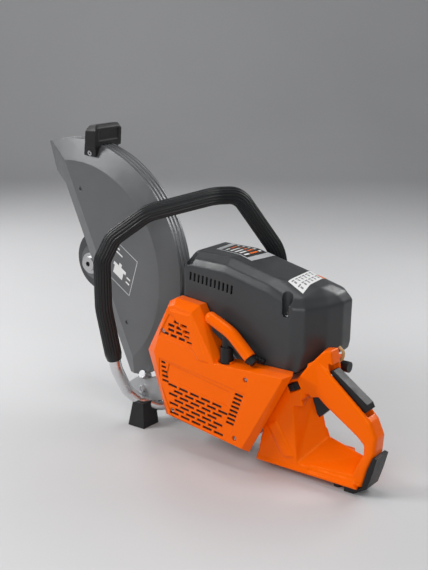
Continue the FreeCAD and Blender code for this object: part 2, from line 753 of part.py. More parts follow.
def top_cover():
    """Moulded engine cover with a vent row and screw pockets."""
    shell = cover_outer().cut(cover_form(COVER_WALL, -110))
    vents = []
    for step in range(11):
        x = 268 + 7.5 * step
        z = 43 - 0.85 * step
        vents.append(prism_y([(x, z), (x + 3.4, z), (x + 2.4, z - 13), (x - 1, z - 13)], -70, -60))
    pockets = [pocket_form(spot, POCKET_R) for spot in pocket_spots()]
    wells = [pocket_form(spot, POCKET_R + 2) for spot in pocket_spots()]
    inside = cover_form(0.5, -110)
    lining = [well.common(inside) for well in wells]
    return cut(fuse([shell] + lining), pockets + vents)


def cover_screws():
    """Screws at the bottom of the cover's pockets."""
    screws = []
    for spot in pocket_spots():
        screws.append(cap_screw(spot - V(0, 0, 6.2), (0, 0, 1), 3.6, 3, 1.6, 1.7))
    return Part.makeCompound(screws)


# ---------------------------------------------------------------- starter

def starter_slant(trim):
    """Space behind the housing's slanted rear end."""
    along = V(72, 0, 135).normalize()
    out = V(135, 0, -72).normalize()
    middle = V(427, 0, -139.5) - along * 120
    section = [(-1.1 * trim, -83), (40, -83), (40, -40), (-22 - 1.1 * trim, -40)]
    points = [middle + out * offset + V(0, y, 0) for offset, y in section]
    reach = along * 240
    return prism([(p.x, p.y, p.z) for p in points], (reach.x, reach.y, reach.z))


def starter_form(trim, back_y):
    """Closed outer form of the starter housing, moved inwards by a trim."""
    face_y = STARTER_FACE_Y + trim
    lower_face = [(222, -84), (249, -179), (386, -199), (455, -75), (343, -78)]
    lower_base = [(200, -88), (235, -186), (391, -207), (463, -72), (343, -74)]
    upper_face = [(222, -84), (249, -8), (262, -3), (294, -9), (336, -80)]
    upper_base = [(200, -88), (244, -2), (256, 5), (300, 1), (343, -78)]
    forms = []
    for face, base, depth in ((lower_face, lower_base, back_y), (upper_face, upper_base, STARTER_STEP_Y)):
        edge = STARTER_FACE_Y + 13 + trim * 0.4
        points = [(x, face_y, z) for x, z in inset(face, trim)]
        points += [(x, y, z) for y in (edge, depth) for x, z in inset(base, trim)]
        forms.append(hull([(round(x, 3), round(y, 3), round(z, 3)) for x, y, z in points]))
    return fuse(forms).cut(starter_slant(trim))


def face_slot(u, w, length, height):
    """Slot through the starter's face, laid out in the engine frame."""
    return tilted(slab(u, u + length, STARTER_FACE_Y - 2, STARTER_FACE_Y + 5, w - height / 2, w + height / 2))


def starter_slots():
    """All grille slots of the starter housing."""
    slots = []
    for row in range(4):
        w = 52 + 7.6 * row
        limit = -9 - 38.0 * (w - 42) / 40
        u = -87 + 4.5 * row + (5 if row % 2 else 0)
        while u + 11.5 < limit:
            slots.append(face_slot(u, w, 11.5, 4.4))
            u += 15.5
    for row in range(7):
        w = -27 - 7.2 * row
        start = -66 + 1.5 * row + (10.5 if row % 2 else 0)
        for column in range(5):
            u = start + 21 * column
            if u + 16.5 < 49 - 0.8 * row:
                slots.append(face_slot(u, w, 16.5, 4.0))
    for row in range(8):
        slots.append(face_slot(55 - 1.3 * row, 3 - 7.0 * row, 14, 4.0))
    for row in range(5):
        slots.append(face_slot(-84 + 1.5 * row, 4 - 7.0 * row, 8 + row, 3.8))
    return slots


def starter_recesses():
    """Shallow recesses that frame the grilles and the plain name panel."""
    face = STARTER_FACE_Y
    return [
        tilted(prism_y([(-78, 84), (-48, 80), (-8, 43), (-94, 43)], face - 1, face + 1)),
        tilted(prism_y([(-88, 9), (73, 9), (60, -56), (50, -76), (-52, -76), (-84, -26)], face - 1, face + 0.9)),
        tilted(prism_y([(-72, -19), (-69, 6), (48, 2), (45, -21)], face, face + 1.9)),
    ]


def starter_screw_spots():
    """Side-view positions of the starter's screws."""
    return [(391, -91), (239, -47), (256, -171), (373, -186)]


def starter_housing():
    """Starter and fan housing: bevelled shell, grilles, strut, name panel and rope notch."""
    outer = starter_form(0, STARTER_BACK_Y)
    step = slab(180, 480, STARTER_STEP_Y, 0, -88, 40)
    outer = outer.cut(step)
    inner = starter_form(3, STARTER_BACK_Y + 2)
    inner_step = slab(180, 480, STARTER_STEP_Y - 0.1, 0, -91, 40)
    shell = outer.cut(inner.cut(inner_step))
    shell = shell.cut(slab(196, 460, STARTER_STEP_Y - 3, STARTER_STEP_Y + 3, -84, 20).common(inner))
    strut = hull([(x, y, z) for y, spots in (
        (-98, ((256, -12), (290, -14), (322, -78), (308, -78))),
        (-93, ((250, -8), (296, -10), (330, -80), (302, -80)))) for x, z in spots])
    notch = fuse([rod((10.5), (ROPE_X, ROPE_Y, -82), (ROPE_X, ROPE_Y, -40)),
                  slab(ROPE_X - 10.5, ROPE_X + 10.5, -100, ROPE_Y, -76, -40)])
    cup = rod(13, (ROPE_X, ROPE_Y, -80), (ROPE_X, ROPE_Y, -72)).common(slab(300, 400, -96, -70, -100, 0))
    post = tilted(rod_y(7, -94, -76))
    bosses = [rod_y(5.2, -94, STARTER_BACK_Y if z < -90 else STARTER_STEP_Y, x, z).common(inner)
              for x, z in starter_screw_spots()]
    sinks = [rod_y(3.8, -99, -90, x, z) for x, z in starter_screw_spots()]
    body = fuse([shell, strut, cup, post] + bosses)
    swing = rod_y(54.5, -75, STARTER_BACK_Y + 1, CRANK_X, CRANK_Z)
    reel_room = tilted(ring_y(REEL_R + 4.2, 9, -90, -74))
    tools = [notch, swing, reel_room, rod(3, (ROPE_X, ROPE_Y, -100), (ROPE_X, ROPE_Y, -60))] + sinks
    return cut(body, tools + starter_recesses() + starter_slots())


def starter_screws():
    """Screws in the starter housing's corners."""
    return Part.makeCompound([
        cap_screw((x, -90, z), (0, -1, 0), 3.5, 3, 2, 0) for x, z in starter_screw_spots()])


def starter_reel():
    """Rope reel on the housing's post."""
    reel = cut(rod_y(REEL_R + 3, -89, -79), [ring_y(REEL_R + 4, REEL_R - 3, -87, -81), rod_y(7.35, -95, -70)])
    lugs = [slab(10, 14, -79, -76.5, -2, 2).rotated(V(0, 0, 0), V(0, 1, 0), 120 * n) for n in range(3)]
    return tilted(fuse([reel] + lugs))


def recoil_spring():
    """Flat spiral recoil spring, drawn as close turns."""
    coils = [ring_y(r, r - 1, -92.6, -89.6) for r in (11, 14, 17, 20, 23, 26)]
    bridge = slab(10, 26, -91.5, -90.5, -0.5, 0.5)
    return tilted(fuse(coils + [bridge]))


def rope_bush():
    """Black guide cup the starter rope comes out of."""
    bush = rod(9.5, (ROPE_X, ROPE_Y, -82), (ROPE_X, ROPE_Y, -52))
    well = rod(7.9, (ROPE_X, ROPE_Y, -72), (ROPE_X, ROPE_Y, -50))
    return cut(bush, [well, rod(3, (ROPE_X, ROPE_Y, -90), (ROPE_X, ROPE_Y, -60))])


def starter_rope():
    """Rope from the reel to the handle."""
    return rod(ROPE_R, (ROPE_X, ROPE_Y, CRANK_Z), (ROPE_X, ROPE_Y, -58))


def grip_core():
    """Black core and stem of the starter handle."""
    stem = rod(7, (ROPE_X, ROPE_Y, -70), (ROPE_X, ROPE_Y, -36))
    web = prism_y([(325, -22), (352, -34), (388, -60), (397, -67), (391, -70), (380, -63), (362, -49),
                   (350, -46), (328, -32)], -89.5, -79.5)
    tail = rod(7, (390, ROPE_Y, -60), (399, ROPE_Y, -67))
    return cut(fuse([stem, web, tail]), [starter_grip_form(), rod(ROPE_R, (ROPE_X, ROPE_Y, -72), (ROPE_X, ROPE_Y, -58))])


def starter_grip_form():
    """Curved bar of the starter handle."""
    return pipe([(322, ROPE_Y, -14), (358, ROPE_Y, -30), (391, ROPE_Y, -60)], [60], GRIP_R)


def starter_grip():
    """Orange grip of the starter handle."""
    return fuse([starter_grip_form(), Part.makeSphere(GRIP_R, V(322, ROPE_Y, -14))])


def vent_bellows():
    """Small ribbed hose between the starter and the cover."""
    start = V(371, -70.3, -62)
    heading = V(38, 0, -5.5).normalize()
    parts = [Part.makeCylinder(3, 36, start, heading)]
    parts += [Part.makeCylinder(4, 2.2, start + heading * (2 + 5 * n), heading) for n in range(7)]
    return fuse(parts)


# ---------------------------------------------------------------- tank and rear handle

def loop_hole():
    """Side-view outline of the finger opening."""
    return [(466, -112), (480, -145), (492, -176), (520, -183), (553, -191), (562, -174), (563, -160),
            (552, -150), (505, -120), (490, -106)]


def loop_prism():
    """Rear handle loop with rounded edges."""
    outer = [(488, -50), (500, -62), (561, -112), (573, -124), (583, -146), (581, -172), (573, -192),
             (565, -222), (470, -222), (478, -120), (470, -60)]
    hole = [(500, -167), (544, -191), (556, -187), (563, -174), (563, -160), (552, -150), (505, -120)]
    body = prism_y(outer, *GRIP_Y)
    body = body.cut(prism_y([(484, -106), (490, -150)] + hole, GRIP_Y[0] - 1, GRIP_Y[1] + 1))
    rounded = level_edges(body, hole + [(x, z) for x, z in outer if x > 498])
    return body.makeFillet(6.0, rounded)


def handle_scoop():
    """Funnel that opens the rear handle and hollows the tank's left face around it."""
    far = [(x, -27.0, z) for x, z in loop_hole()]
    near = [(452, -126), (456, -160), (462, -213), (547, -213), (560, -178), (563, -160), (552, -150),
            (505, -121)]
    return hull(far + [(x, -66.5, z) for x, z in near])


def tank_form():
    """Fuel tank block, lower beam and the buttress up to the handle."""
    tank = hull([
        (392, -65, -224), (480, -65, -224), (492, -50, -224), (490, -28, -224), (436, 40, -224), (392, 40, -224),
        (404, -65, -165), (466, -65, -165), (488, -50, -165), (488, -28, -165), (436, 40, -165), (404, 40, -165),
        (436, -65, -108), (464, -65, -108), (468, -28, -108), (412, 40, -108), (404, 40, -130),
        (449, -65, -86), (463, -65, -84), (468, -28, -84), (428, -28, -90), (404, 40, -106)])
    base = prism_z([(392, -65), (550, -62), (562, -56), (562, -26), (505, 20), (500, 40), (392, 40)], -224, -214)
    beam = hull([
        (476, -62, -214), (476, -22, -214), (560, -58, -216), (560, -24, -216), (476, -28, -160),
        (476, -22, -160), (553, -58, -190), (556, -24, -190), (476, -58, -164)])
    tower = hull([
        (452, -64.5, -92), (463, -64.5, -79), (470, -62, -66), (494, -54, -37), (504, -52, -36), (504, -30, -36),
        (486, -26, -40), (510, -52, -64), (510, -30, -66), (486, -56, -112), (482, -28, -112), (462, -28, -90),
        (500, -56, -92), (500, -30, -92)])
    rear_wall = hull([
        (470, -30, -84), (474, 8, -84), (489, -30, -52), (489, 8, -58), (497, -30, -52), (496, 6, -60),
        (480, 8, -92), (480, -30, -92)])
    return [tank, base, beam, tower, rear_wall]


def stop_switch_box(grow):
    """Space of the stop switch on the tank's left face."""
    box = slab(-9 - grow, 9 + grow, -66 - 4 * grow, -60 + 2 * grow, -5.5 - grow, 5.5 + grow)
    return box.rotated(V(0, 0, 0), V(0, 1, 0), -28).translated(V(453, 0, -96))


def rear_handle_tank():
    """Orange moulding: fuel tank, rear handle loop and the wall behind the cover."""
    body = fuse(tank_form() + [loop_prism()])
    body = cut(body, [handle_scoop(), prism_y(loop_hole(), -70, 0)])
    rib = prism_y([(411, -164), (425, -155), (456, -203), (440, -207)], -67.5, -64)
    ledge = prism_y([(392, -224), (393, -219), (556, -219), (562, -224)], -66.5, -60)
    body = fuse([body, rib, ledge])
    trigger_slot = prism_y([(466, -90), (488, -93), (514, -112), (514, -124), (490, -142), (470, -118)], -51, -35)
    lever_slot = prism_y([(498, -50), (502, -82), (558, -124), (569, -116), (572, -100)], -52.6, -33.4)
    fuel = hull([(x, y, z) for z in (-212, -142) for x, y in ((416, -54), (446, -54), (446, -28), (422, 8), (416, 8))])
    neck = rod_y(13, 4, 44, *CAP_SPOT)
    choke = rod(4.4, (470, -14, -68), (512, -14, -68))
    gap = cover_form(-0.8, -83).cut(cover_underside(0.8))
    tools = [gap, trigger_slot, lever_slot, fuel, neck, choke, stop_switch_box(0.8)]
    return cut(body, tools + [starter_form(-1.2, STARTER_BACK_Y + 1.2)])


def stop_switch():
    """Rocker of the stop switch on its pivot pin."""
    ridge = slab(-3, 3, -68, -64, -4, 4)
    pin = Part.makeCylinder(1.3, 12, V(0, -62.7, -6))
    turned = fuse([ridge, pin]).rotated(V(0, 0, 0), V(0, 1, 0), -28).translated(V(453, 0, -96))
    return fuse([stop_switch_box(-0.3).common(slab(430, 480, -66.5, -60.5, -120, -70)), turned])


def throttle_trigger():
    """Throttle trigger under the rear grip."""
    blade = prism_y([(471, -97), (482, -99), (504, -119), (504.5, -123), (488, -139), (484, -134), (476, -112)],
                    -49.5, -36.5)
    return blade.cut(rod_y(1.8, -52, -34, 477, -102))


def throttle_lockout():
    """Lockout lever on top of the rear grip."""
    lever = prism_y([(503, -66), (509, -63), (564, -101), (567.5, -108), (561, -114), (504, -75)], -51.6, -34.4)
    return lever.cut(rod_y(1.8, -55, -31, 508, -70))


def lever_pins():
    """Pins of the trigger and the lockout lever."""
    return Part.makeCompound([rod_y(1.5, -53, -33, 477, -102), rod_y(1.5, -54.5, -31.5, 508, -70)])


def hand_guard():
    """Black plate around the rear handle's lower corner."""
    outline = [(581, -172), (587, -173), (581, -197), (573, -222), (553, -234), (538, -234), (538, -224.1),
               (562.1, -224.1), (565.1, -222), (573, -192)]
    return prism_y(outline, -60, -26)


def fuel_cap():
    """Fuel filler cap on the tank's right side."""
    x, z = CAP_SPOT
    grips = [slab(15, 19, 40.5, 50, -2, 2).rotated(V(0, 0, 0), V(0, 1, 0), 30 * n).translated(V(x, 0, z))
             for n in range(12)]
    bar = slab(x - 14, x + 14, 50, 55, z - 3, z + 3)
    return fuse([rod_y(17, 40.5, 50, x, z), bar, rod_y(12.4, 32, 40.5, x, z)] + grips)


def choke_knob():
    """Choke pull behind the cover."""
    return fuse([rod(4, (480, -14, -68), (504, -14, -68)), rod(8, (501.5, -14, -68), (514, -14, -68))])


def vent_pipe():
    """Small curved tan tube beside the choke."""
    return cut(pipe([(494, -22, -60), (506, -22, -56), (508, -22, -44), (500, -22, -38)], [5, 5], 2.2), tank_form())


def av_mounts():
    """Rubber mounts between the engine and the tank."""
    mounts = []
    for y, z in ((-36, -150), (14, -150)):
        mounts.append(rod(11, (372, y, z), (420, y, z)))
    block = fuse(mounts)
    return cut(block, [crankcase_left(), crankcase_right()] + tank_form())


# ---------------------------------------------------------------- front handle and feet

def front_tube():
    """Bare tube of the front handle."""
    return pipe(TUBE_PATH, TUBE_BENDS, TUBE_R)


def front_sleeve():
    """Rubber sleeve over the front handle."""
    start = V(*TUBE_PATH[4]) + (V(*TUBE_PATH[5]) - V(*TUBE_PATH[4])) * 0.17
    end = V(*TUBE_PATH[12]) + (V(*TUBE_PATH[13]) - V(*TUBE_PATH[12])) * 0.35
    path = [(start.x, start.y, start.z)] + TUBE_PATH[5:13] + [(end.x, end.y, end.z)]
    return pipe(path, TUBE_BENDS[4:12], SLEEVE_R).cut(front_tube())


def front_bracket():
    """Cast bracket between the crankcase, the front handle and the foot."""
    plate = prism_y([(116, -176), (136, -161), (162, -158), (236, -128), (250, -170), (168, -195), (150, -197)],
                    -38, -28)
    arm = prism_y([(228, -136), (252, -130), (256, -184), (215, -184)], -38, 4)
    toe = hull([(x, y, z) for x, y, z in (
        (180, 8, -196), (222, 8, -190), (222, 40, -196), (188, 40, -200), (188, 40, -206), (222, 40, -206),
        (180, 8, -206), (222, 8, -206), (222, 0, -170), (244, 0, -170), (244, 20, -180))])
    boss = rod(6.5, (154, -46, -150), (154, -30, -158))
    body = fuse([plate, arm, toe, boss])
    return cut(body, [crankcase_left(), crankcase_right(), front_tube()])


def handle_bolts():
    """Bolts of the front bracket and of the clamp at the handle's right end."""
    return Part.makeCompound([
        cap_screw((149, -38, -178), (0, -1, 0), 6.5, 5, 3, 0.5),
        hex_y(6.5, 72, 76, 402, -98)])


def handle_lug():
    """Clamp that fixes the front handle to the tank's right side."""
    ear = hull([(388, 40, -112), (416, 40, -112), (388, 40, -84), (416, 40, -96),
                (390, 72, -106), (414, 72, -106), (390, 72, -86), (414, 72, -92)])
    tank = tank_form()
    return cut(ear, [front_tube()] + tank)


def front_feet():
    """Two tapered rubber feet under the front of the saw."""
    left = hull([(139, -64, GROUND_Z), (172, -64, GROUND_Z), (172, -27, GROUND_Z), (139, -27, GROUND_Z),
                 (146, -60, -194), (168, -60, -194), (168, -30, -194), (146, -30, -194)])
    right = hull([(186, 10, GROUND_Z), (216, 10, GROUND_Z), (216, 40, GROUND_Z), (186, 40, GROUND_Z),
                  (190, 12, -202), (212, 12, -202), (212, 38, -202), (190, 38, -202)])
    return Part.makeCompound([shape.cut(fuse([front_tube(), front_bracket()])) for shape in (left, right)])


def rear_feet():
    """Rubber feet under the tank."""
    feet = []
    for x, y in ((522, -48), (470, 26)):
        feet.append(Part.makeCone(8, 6.5, 11, V(x, y, -224), V(0, 0, -1)))
    return Part.makeCompound(feet)


PARTS = [
    guard_shell, guard_handle, guard_handle_screws,
    spindle, inner_flange, bearings, driven_pulley, pulley_nut, clutch_drum, drive_belt,
    cutting_arm, arm_boss_screws, arm_bolts, belt_tensioner, belt_cover, belt_cover_screws,
    crankcase_left, crankcase_right, crankcase_bolts, crankshaft, flywheel,
    clutch_shoes, cylinder, piston, spark_plug, plug_cap, ignition_coil, muffler,
    intake_boot, carburettor, filter_tray, air_filter, top_cover, cover_screws,
    starter_housing, starter_screws, starter_reel, recoil_spring, rope_bush, starter_rope, grip_core,
    starter_grip, vent_bellows, vent_pipe, rear_handle_tank, stop_switch, throttle_trigger,
    throttle_lockout, lever_pins, hand_guard, fuel_cap, choke_knob, av_mounts,
    front_tube, front_sleeve, front_bracket, handle_lug, handle_bolts, front_feet, rear_feet,
]

os.makedirs("parts", exist_ok=True)
for build in PARTS:
    shape = build()
    shape.exportStep("parts/" + build.__name__ + ".step")
    solids = [round(solid.Volume) for solid in shape.Solids]
    print(build.__name__, shape.isValid(), solids)
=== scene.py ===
import bpy
import bmesh
import json
import math
from mathutils import Matrix, Vector
from mathutils.bvhtree import BVHTree


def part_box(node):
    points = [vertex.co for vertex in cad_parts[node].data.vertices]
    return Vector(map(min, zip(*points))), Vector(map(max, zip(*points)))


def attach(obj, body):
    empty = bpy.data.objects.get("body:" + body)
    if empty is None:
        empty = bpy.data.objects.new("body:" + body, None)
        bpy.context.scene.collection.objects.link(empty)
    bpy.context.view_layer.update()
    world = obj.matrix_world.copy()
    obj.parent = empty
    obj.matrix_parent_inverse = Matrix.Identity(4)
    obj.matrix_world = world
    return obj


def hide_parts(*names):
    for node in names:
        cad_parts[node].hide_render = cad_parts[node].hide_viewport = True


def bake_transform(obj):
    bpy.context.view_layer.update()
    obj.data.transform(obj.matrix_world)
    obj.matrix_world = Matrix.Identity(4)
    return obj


# Concrete cut-off saw on a pale floor. Metres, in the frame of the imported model:
# X runs towards the rear handle, Y to the operator's right, Z up.

GROUND = -0.235

# crank axis in the side view, and the engine's tilt about it
CRANK_X = 0.318
CRANK_Z = -0.112
ENGINE_TILT = math.radians(7.7)

# top cover
COVER_WALL = 0.003
COVER_VOXEL = 0.0016
POCKET_BOTTOMS = [(0.266, -0.058, 0.056), (0.437, -0.060, 0.009), (0.272, 0.038, 0.056), (0.440, 0.042, 0.009)]
POCKET_R = 0.0078
POCKET_WALL = 0.002
POCKET_RISE = 0.04
VENTS = 11
VENT_START = (0.268, 0.043)
VENT_STEP = (0.0075, -0.00085)

# front handle sleeve
SLEEVE_R = 0.0134
SLEEVE_END_R = 0.0096
RIDGES = 18
RIDGE_DEPTH = 0.00125
SLEEVE_START_SHARE = 0.17
SLEEVE_STOP_SHARE = 0.35

# stop switch on the rear handle moulding
SWITCH_X = 0.453
SWITCH_Z = -0.096
SWITCH_TILT = math.radians(28)
SWITCH_HALF = (0.0099, 0.0065)

# painted shade: thin black sheets between the starter's face and its spring, so the grille openings read dark
GRILLE_SHADE_Y = (-0.0929, -0.0927)

# camera, at the picture's viewing angle
CAMERA_PLACE = (1.1889, -1.2436, 0.4386)
CAMERA_LENS = 65.84
SENSOR_WIDTH = 36.0
VIEW_AZIMUTH = math.radians(36.65)
VIEW_ELEVATION = math.radians(15.55)
VIEW_ROLL = math.radians(0.26)

# name, place, target, size, power
LIGHTS = [
    ("key", (-1.05, -1.35, 1.15), (0.15, 0, 0), (0.9, 0.7), 30),
    ("top", (0.3, -0.1, 1.9), (0.28, 0, 0), (0.9, 0.9), 12),
    ("rim", (-1.3, 0.5, 0.9), (0.1, 0, 0), (0.6, 1.0), 12),
    ("back", (0.9, 1.3, 0.9), (0.3, 0, 0), (1.2, 0.6), 16),
    ("fill", (1.3, -1.5, 0.5), (0.3, 0, 0), (1.2, 0.9), 12),
]
WORLD_STRENGTH = 0.25

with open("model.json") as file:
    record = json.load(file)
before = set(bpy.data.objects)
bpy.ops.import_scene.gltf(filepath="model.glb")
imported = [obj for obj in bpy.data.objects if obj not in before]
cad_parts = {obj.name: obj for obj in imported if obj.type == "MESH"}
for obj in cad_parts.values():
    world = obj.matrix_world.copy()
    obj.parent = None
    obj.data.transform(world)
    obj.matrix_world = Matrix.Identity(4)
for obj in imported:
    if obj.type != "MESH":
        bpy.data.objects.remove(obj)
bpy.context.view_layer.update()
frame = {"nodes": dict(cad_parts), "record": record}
nodes = frame["nodes"]


# ---------------------------------------------------------------- materials

def shader(name):
    """New node material and its principled shader."""
    mat = bpy.data.materials.new(name)
    mat.use_nodes = True
    return mat, mat.node_tree, mat.node_tree.nodes["Principled BSDF"]


def mix_colour(tree, factor, first, second):
    """Mix node between two plain colours or sockets."""
    node = tree.nodes.new("ShaderNodeMix")
    node.data_type = "RGBA"
    tree.links.new(factor, node.inputs["Factor"])
    for socket, value in ((node.inputs["A"], first), (node.inputs["B"], second)):
        if hasattr(value, "is_output"):
            tree.links.new(value, socket)
        else:
            socket.default_value = (*value, 1)
    return node.outputs["Result"]


def noise(tree, scale, detail=4.0, stretch=(1, 1, 1)):
    """Noise factor in object space."""
    place = tree.nodes.new("ShaderNodeTexCoord")
    scaling = tree.nodes.new("ShaderNodeMapping")
    scaling.inputs["Scale"].default_value = stretch
    tree.links.new(place.outputs["Object"], scaling.inputs["Vector"])
    node = tree.nodes.new("ShaderNodeTexNoise")
    node.inputs["Scale"].default_value = scale
    node.inputs["Detail"].default_value = detail
    tree.links.new(scaling.outputs["Vector"], node.inputs["Vector"])
    return node.outputs["Fac"]


def spread(tree, value, low, high, start=0.3, end=0.7):
    """Remap a factor to a range."""
    node = tree.nodes.new("ShaderNodeMapRange")
    node.inputs["From Min"].default_value = start
    node.inputs["From Max"].default_value = end
    node.inputs["To Min"].default_value = low
    node.inputs["To Max"].default_value = high
    tree.links.new(value, node.inputs["Value"])
    return node.outputs["Result"]


def edge_mask(tree, rounding):
    """Factor that is high where the rounded normal leaves the face's own."""
    shape = tree.nodes.new("ShaderNodeNewGeometry")
    dot = tree.nodes.new("ShaderNodeVectorMath")
    dot.operation = "DOT_PRODUCT"
    tree.links.new(shape.outputs["Normal"], dot.inputs[0])
    tree.links.new(rounding.outputs["Normal"], dot.inputs[1])
    return spread(tree, dot.outputs["Value"], 1.0, 0.0, 0.86, 0.985)


def finish(name, colour, rough, metallic=0.0, grain=0.0, grain_scale=1500.0, edge=0.0012, wear=None,
           shade=0.12, rough_shift=0.06, stretch=(1, 1, 1), specular=0.5, tint=(1, 1, 1)):
    """General surface: colour drift, grain, uneven gloss, rounded and worn edges."""
    mat, tree, bsdf = shader(name)
    bsdf.inputs["Metallic"].default_value = metallic
    bsdf.inputs["Specular IOR Level"].default_value = specular
    bsdf.inputs["Specular Tint"].default_value = (*tint, 1)
    rounding = tree.nodes.new("ShaderNodeBevel")
    rounding.samples = 4
    rounding.inputs["Radius"].default_value = edge
    broad = noise(tree, 22.0)
    dark = tuple(c * (1 - shade) for c in colour)
    tone = mix_colour(tree, spread(tree, broad, 0.0, 1.0), dark, colour)
    if wear:
        mask = tree.nodes.new("ShaderNodeMath")
        mask.operation = "MULTIPLY"
        tree.links.new(edge_mask(tree, rounding), mask.inputs[0])
        tree.links.new(spread(tree, noise(tree, 140.0), 0.0, 1.0, 0.4, 0.7), mask.inputs[1])
        tone = mix_colour(tree, mask.outputs["Value"], tone, wear)
    tree.links.new(tone, bsdf.inputs["Base Color"])
    fine = noise(tree, grain_scale, 3.0, stretch)
    tree.links.new(spread(tree, noise(tree, 60.0), rough - rough_shift, rough + rough_shift),
                   bsdf.inputs["Roughness"])
    bump = tree.nodes.new("ShaderNodeBump")
    bump.inputs["Strength"].default_value = grain
    bump.inputs["Distance"].default_value = 0.0002
    tree.links.new(fine, bump.inputs["Height"])
    tree.links.new(rounding.outputs["Normal"], bump.inputs["Normal"])
    tree.links.new(bump.outputs["Normal"], bsdf.inputs["Normal"])
    return mat


ORANGE = finish("orange_plastic", (0.88, 0.12, 0.0), 0.3, grain=0.1, grain_scale=900, edge=0.0022,
                shade=0.03, specular=0.5, tint=(1.0, 0.4, 0.08), rough_shift=0.02)
COVER_GREY = finish("cover_plastic", (0.036, 0.038, 0.04), 0.36, grain=0.4, grain_scale=1800, edge=0.002,
                    shade=0.12, specular=0.4)
BLACK = finish("black_plastic", (0.01, 0.01, 0.011), 0.42, grain=0.5, grain_scale=1600, edge=0.0015,
               specular=0.3)
RUBBER = finish("rubber", (0.012, 0.012, 0.012), 0.55, grain=0.6, grain_scale=1200, edge=0.001, specular=0.35)
SLEEVE = finish("sleeve_rubber", (0.011, 0.012, 0.013), 0.36, grain=0.3, grain_scale=1200, edge=0.001,
                specular=0.35)
GUARD = finish("guard_paint", (0.13, 0.133, 0.137), 0.34, metallic=0.35, grain=0.2, grain_scale=2200,
               edge=0.002, shade=0.06)
CASTING = finish("grey_casting", (0.07, 0.072, 0.076), 0.5, metallic=0.4, grain=0.8, grain_scale=700)
STEEL = finish("steel", (0.55, 0.55, 0.56), 0.32, metallic=1.0, grain=0.2, grain_scale=900)
ALUMINIUM = finish("cast_aluminium", (0.5, 0.51, 0.52), 0.5, metallic=0.9, grain=0.9, grain_scale=600)
TUBE = finish("bright_tube", (0.78, 0.79, 0.8), 0.24, metallic=1.0, grain=0.12, grain_scale=300,
              stretch=(1, 1, 0.1))
DARK_METAL = finish("dark_metal", (0.03, 0.03, 0.031), 0.6, metallic=0.5, grain=0.8, grain_scale=700,
                    wear=(0.2, 0.15, 0.1))
WHITE = finish("white_plastic", (0.62, 0.62, 0.58), 0.45, grain=0.3)
FOAM = finish("filter_foam", (0.06, 0.065, 0.05), 0.9, grain=1.0, grain_scale=900)
ROPE = finish("rope", (0.65, 0.65, 0.62), 0.8, grain=1.0, grain_scale=1500)
TAN = finish("tan_hose", (0.45, 0.27, 0.1), 0.5, grain=0.3)

FINISHES = {
    "guard_paint": GUARD, "black_plastic": BLACK, "rubber": RUBBER, "grey_plastic": COVER_GREY,
    "orange_plastic": ORANGE, "grey_casting": CASTING, "steel": STEEL, "cast_aluminium": ALUMINIUM,
    "bright_tube": TUBE, "dark_metal": DARK_METAL, "white_plastic": WHITE, "filter_foam": FOAM, "rope": ROPE,
}

SLOTS = {part["node"]: part["material_slot"] for part in frame["record"]["subparts"]}

for node, slot in SLOTS.items():
    nodes[node].data.materials.clear()
    nodes[node].data.materials.append(FINISHES[slot])
nodes["vent_pipe"].data.materials.clear()
nodes["vent_pipe"].data.materials.append(TAN)


# ---------------------------------------------------------------- mesh helpers

def mesh_object(name, bm, material, smooth=True):
    """Object from a bmesh."""
    mesh = bpy.data.meshes.new(name)
    bm.normal_update()
    bm.to_mesh(mesh)
    bm.free()
    obj = bpy.data.objects.new(name, mesh)
    bpy.context.scene.collection.objects.link(obj)
    if material:
        mesh.materials.append(material)
    if smooth:
        mesh.shade_smooth()
    return obj


def apply_all(obj):
    """Replace an object's mesh with the result of its modifiers."""
    graph = bpy.context.evaluated_depsgraph_get()
    result = bpy.data.meshes.new_from_object(obj.evaluated_get(graph))
    obj.modifiers.clear()
    obj.data = result


def node_hull(node):
    """Convex form round a CAD node, as a bmesh."""
    bm = bmesh.new()
    for vertex in nodes[node].data.vertices:
        bm.verts.new(vertex.co)
    result = bmesh.ops.convex_hull(bm, input=bm.verts)
    loose = [e for e in result["geom_interior"] + result["geom_unused"] if isinstance(e, bmesh.types.BMVert)]
    bmesh.ops.delete(bm, geom=list(set(loose)), context="VERTS")
    bmesh.ops.recalc_face_normals(bm, faces=bm.faces)
    return bm


def soften(obj, voxel, rounds):
    """Even remesh followed by smoothing, which rounds every edge."""
    remesh = obj.modifiers.new("remesh", "REMESH")
    remesh.mode = "VOXEL"
    remesh.voxel_size = voxel
    relax = obj.modifiers.new("relax", "SMOOTH")
    relax.factor = 0.5
    relax.iterations = rounds
    apply_all(obj)


def carve(obj, tool):
    """Cut a tool object out of another, and remove the tool."""
    step = obj.modifiers.new("carve", "BOOLEAN")
    step.operation = "DIFFERENCE"
    step.solver = "MANIFOLD"
    step.object = tool
    apply_all(obj)
    bpy.data.objects.remove(tool)


def prism_object(name, outline, y0, y1):
    """Side-view outline pushed along Y, as a closed object."""
    bm = bmesh.new()
    near = [bm.verts.new((x, y0, z)) for x, z in outline]
    far = [bm.verts.new((x, y1, z)) for x, z in outline]
    bm.faces.new(near)
    bm.faces.new(far[::-1])
    count = len(outline)
    for i in range(count):
        j = (i + 1) % count
        bm.faces.new((near[j], near[i], far[i], far[j]))
    bmesh.ops.recalc_face_normals(bm, faces=bm.faces)
    return mesh_object(name, bm, None, smooth=False)


